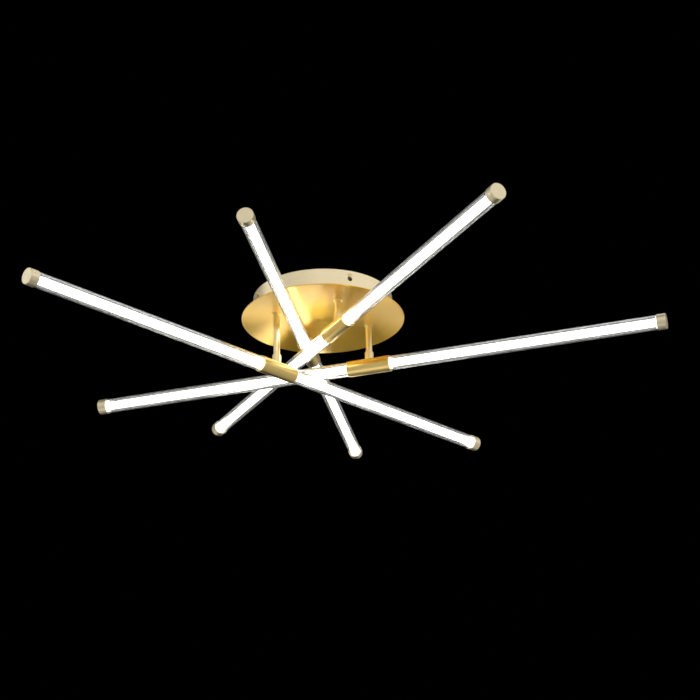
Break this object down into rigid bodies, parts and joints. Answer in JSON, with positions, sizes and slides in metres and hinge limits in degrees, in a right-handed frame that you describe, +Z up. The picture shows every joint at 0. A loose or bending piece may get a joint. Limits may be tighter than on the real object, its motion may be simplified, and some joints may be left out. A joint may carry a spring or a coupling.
{
  "type": "multi arm chandelier",
  "caption": "Semi-flush ceiling light: round brass canopy, stems of stepped length and crossed straight bars of lit glass tube that swivel about their stems.",
  "frame": {"origin": "centre of the ceiling bracket's top face, in the ceiling plane", "axes": "+Z up into the ceiling, -Y towards the viewer below and in front, +X to that viewer's right; Y is the longest extent"},
  "size_m": [1.0155, 1.128, 0.1551],
  "materials": {
    "brushed_brass": "warm brass, fine brushing: in circles on the disc, lengthwise on the sleeves and caps",
    "clear_glass": "clear and smooth",
    "opal_diffuser": "opal white, lit from inside",
    "bare_aluminium": "extruded, satin",
    "led_board": "white coated board with chips",
    "zinc_steel": "zinc plated steel",
    "white_plastic": "moulded white plastic",
    "black_rubber": "matt black rubber"
  },
  "bodies": {
    "canopy": {"cable_grommet": "black_rubber", "canopy_nuts": "zinc_steel", "canopy_pan": "brushed_brass", "canopy_washers": "zinc_steel", "ceiling_bracket": "zinc_steel", "driver_screws": "zinc_steel", "earth_screw": "zinc_steel", "face_disc": "brushed_brass", "led_driver": "white_plastic", "side_screws": "brushed_brass", "stem_flanges": "brushed_brass", "stem_rods": "zinc_steel", "stem_tube_1": "brushed_brass", "stem_tube_2": "brushed_brass", "stem_tube_3": "brushed_brass", "stem_tube_4": "brushed_brass", "swivel_nuts": "zinc_steel", "swivel_washers": "zinc_steel", "terminal_block": "white_plastic"},
    "bar_1": {"bar_1_cap_a": "brushed_brass", "bar_1_cap_b": "brushed_brass", "bar_1_collar": "brushed_brass", "bar_1_diffusers": "opal_diffuser", "bar_1_glass_a": "clear_glass", "bar_1_glass_b": "clear_glass", "bar_1_led_boards": "led_board", "bar_1_led_cores": "bare_aluminium", "bar_1_sleeve": "brushed_brass", "bar_1_tube_holders": "white_plastic"},
    "bar_2": {"bar_2_cap_a": "brushed_brass", "bar_2_cap_b": "brushed_brass", "bar_2_collar": "brushed_brass", "bar_2_diffusers": "opal_diffuser", "bar_2_glass_a": "clear_glass", "bar_2_glass_b": "clear_glass", "bar_2_led_boards": "led_board", "bar_2_led_cores": "bare_aluminium", "bar_2_sleeve": "brushed_brass", "bar_2_tube_holders": "white_plastic"},
    "bar_3": {"bar_3_cap_a": "brushed_brass", "bar_3_cap_b": "brushed_brass", "bar_3_collar": "brushed_brass", "bar_3_diffusers": "opal_diffuser", "bar_3_glass_a": "clear_glass", "bar_3_glass_b": "clear_glass", "bar_3_led_boards": "led_board", "bar_3_led_cores": "bare_aluminium", "bar_3_sleeve": "brushed_brass", "bar_3_tube_holders": "white_plastic"},
    "bar_4": {"bar_4_cap_a": "brushed_brass", "bar_4_cap_b": "brushed_brass", "bar_4_collar": "brushed_brass", "bar_4_diffusers": "opal_diffuser", "bar_4_glass_a": "clear_glass", "bar_4_glass_b": "clear_glass", "bar_4_led_boards": "led_board", "bar_4_led_cores": "bare_aluminium", "bar_4_sleeve": "brushed_brass", "bar_4_tube_holders": "white_plastic"}
  },
  "joints": [
    {"name": "bar_1_swivel", "type": "hinge", "parent": "canopy", "child": "bar_1", "pos_m": [-0.07894, -0.02565, -0.1414], "axis": [0, 0, 1], "range_deg": [-45, 45]},
    {"name": "bar_2_swivel", "type": "hinge", "parent": "canopy", "child": "bar_2", "pos_m": [0.07894, 0.02565, -0.1152], "axis": [0, 0, 1], "range_deg": [-45, 28]},
    {"name": "bar_3_swivel", "type": "hinge", "parent": "canopy", "child": "bar_3", "pos_m": [0.02565, -0.07894, -0.089], "axis": [0, 0, 1], "range_deg": [-42, 20]},
    {"name": "bar_4_swivel", "type": "hinge", "parent": "canopy", "child": "bar_4", "pos_m": [-0.02565, 0.07894, -0.0628], "axis": [0, 0, 1], "range_deg": [-7, 20]}
  ]
}
